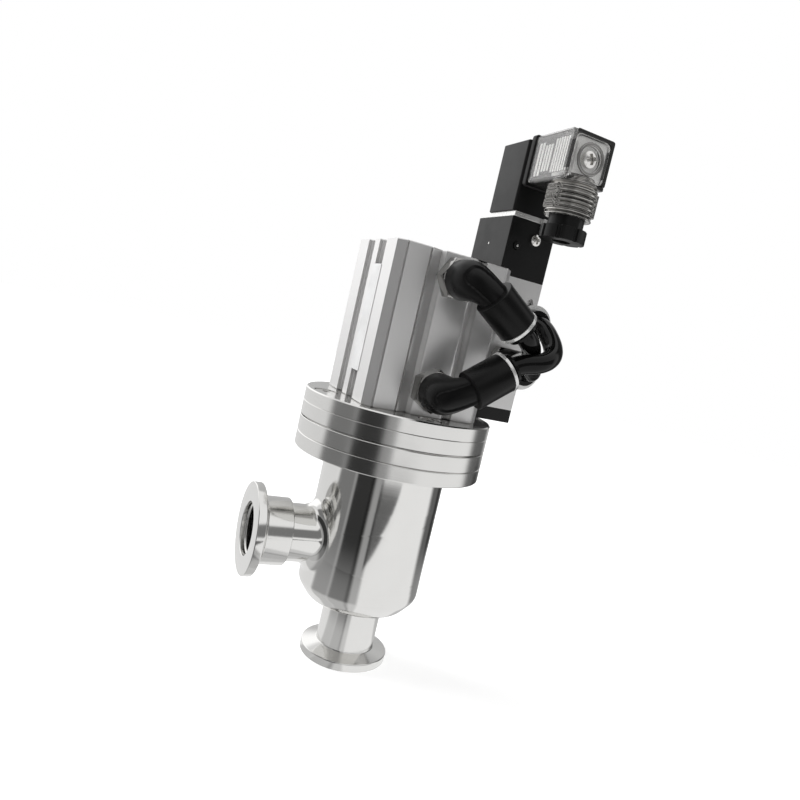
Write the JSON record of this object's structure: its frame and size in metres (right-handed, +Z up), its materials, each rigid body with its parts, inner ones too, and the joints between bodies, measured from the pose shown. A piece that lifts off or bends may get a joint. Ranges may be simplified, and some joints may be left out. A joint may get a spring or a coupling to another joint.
{
  "type": "pneumatic vacuum angle valve",
  "caption": "Right-angle vacuum shut-off valve with bellows-sealed stem, round bolted flanges, a square air cylinder and a solenoid valve that feeds it through short hoses.",
  "frame": {"origin": "centre of the bottom port's sealing face", "axes": "+Z up along the main axis, towards the air cylinder; -X towards the side port; -Y towards the cylinder's two air fittings"},
  "size_m": [0.0838, 0.0758, 0.1888],
  "materials": {
    "steel": "polished",
    "flange_steel": "turned, satin",
    "screw_steel": "bright",
    "plate_steel": "bright plated",
    "spring_steel": "bright",
    "anodised": "satin anodised",
    "machined": "machined",
    "nickel": "nickel plated",
    "black_plastic": "matte",
    "fitting_plastic": "satin gloss",
    "hose": "gloss",
    "clear_plastic": "smoke clear",
    "gasket": "matte",
    "rubber": "matte",
    "label": "printed film, blank"
  },
  "bodies": {
    "valve": {"actuator_plate": "flange_steel", "bellows": "steel", "bellows_flange": "flange_steel", "body_flange": "flange_steel", "body_seal": "rubber", "body_tube": "steel", "bonnet_flange": "flange_steel", "bottom_port_flange": "steel", "coil": "black_plastic", "coil_nut": "screw_steel", "core_tube": "steel", "cylinder_body": "anodised", "cylinder_screws": "screw_steel", "elbow_studs": "nickel", "end_cap": "black_plastic", "end_cap_screws": "screw_steel", "fitting_rings": "plate_steel", "flange_screws": "screw_steel", "gland_nut": "black_plastic", "head_cover": "machined", "lower_elbow_body": "fitting_plastic", "lower_hose": "hose", "lower_valve_fitting": "fitting_plastic", "mounting_plate": "plate_steel", "mounting_screws": "screw_steel", "pilot_block": "black_plastic", "pilot_screws": "screw_steel", "plug_gasket": "gasket", "plug_housing": "clear_plastic", "plug_screw": "screw_steel", "plunger_spring": "spring_steel", "rating_label": "label", "rod_cover": "machined", "rod_seal": "rubber", "side_port_flange": "steel", "snap_rings": "screw_steel", "spool_spring": "spring_steel", "terminal_block": "black_plastic", "upper_elbow_body": "fitting_plastic", "upper_hose": "hose", "upper_valve_fitting": "fitting_plastic", "valve_block": "anodised", "valve_studs": "nickel", "yoke_plate": "plate_steel"},
    "stem": {"valve_disc": "steel", "disc_seal": "rubber", "disc_screw": "screw_steel", "valve_stem": "steel", "piston_rod": "steel", "piston": "machined", "piston_seal": "rubber"},
    "spool": {"spool": "machined", "spool_seals": "rubber"},
    "armature": {"plunger": "steel"},
    "override": {"override_button": "black_plastic"},
    "upper_elbow_release": {"upper_elbow_collar": "fitting_plastic"},
    "lower_elbow_release": {"lower_elbow_collar": "fitting_plastic"},
    "upper_valve_release": {"upper_valve_collar": "fitting_plastic"},
    "lower_valve_release": {"lower_valve_collar": "fitting_plastic"}
  },
  "joints": [
    {"name": "stem_lift", "type": "slide", "parent": "valve", "child": "stem", "axis": [0, 0, 1], "range_m": [0, 0.012], "deforming": ["bellows"]},
    {"name": "spool_shift", "type": "slide", "parent": "valve", "child": "spool", "axis": [0, 0, -1], "range_m": [0, 0.0025], "stiffness_N_per_m": 400, "springref_m": -0.002, "deforming": ["spool_spring"]},
    {"name": "armature_lift", "type": "slide", "parent": "valve", "child": "armature", "axis": [0, 0, 1], "range_m": [0, 0.0008], "stiffness_N_per_m": 400, "springref_m": -0.002, "deforming": ["plunger_spring"]},
    {"name": "override_press", "type": "slide", "parent": "valve", "child": "override", "axis": [0, 1, 0], "range_m": [0, 0.001], "stiffness_N_per_m": 400, "springref_m": -0.0005},
    {"name": "upper_elbow_press", "type": "slide", "parent": "valve", "child": "upper_elbow_release", "axis": [-0.832, 0, 0.5548], "range_m": [0, 0.001], "stiffness_N_per_m": 300, "springref_m": -0.0005},
    {"name": "lower_elbow_press", "type": "slide", "parent": "valve", "child": "lower_elbow_release", "axis": [-0.7944, 0, -0.6074], "range_m": [0, 0.001], "stiffness_N_per_m": 300, "springref_m": -0.0005},
    {"name": "upper_valve_press", "type": "slide", "parent": "valve", "child": "upper_valve_release", "axis": [0, 1, 0], "range_m": [0, 0.001], "stiffness_N_per_m": 300, "springref_m": -0.0005},
    {"name": "lower_valve_press", "type": "slide", "parent": "valve", "child": "lower_valve_release", "axis": [0, 1, 0], "range_m": [0, 0.001], "stiffness_N_per_m": 300, "springref_m": -0.0005}
  ]
}
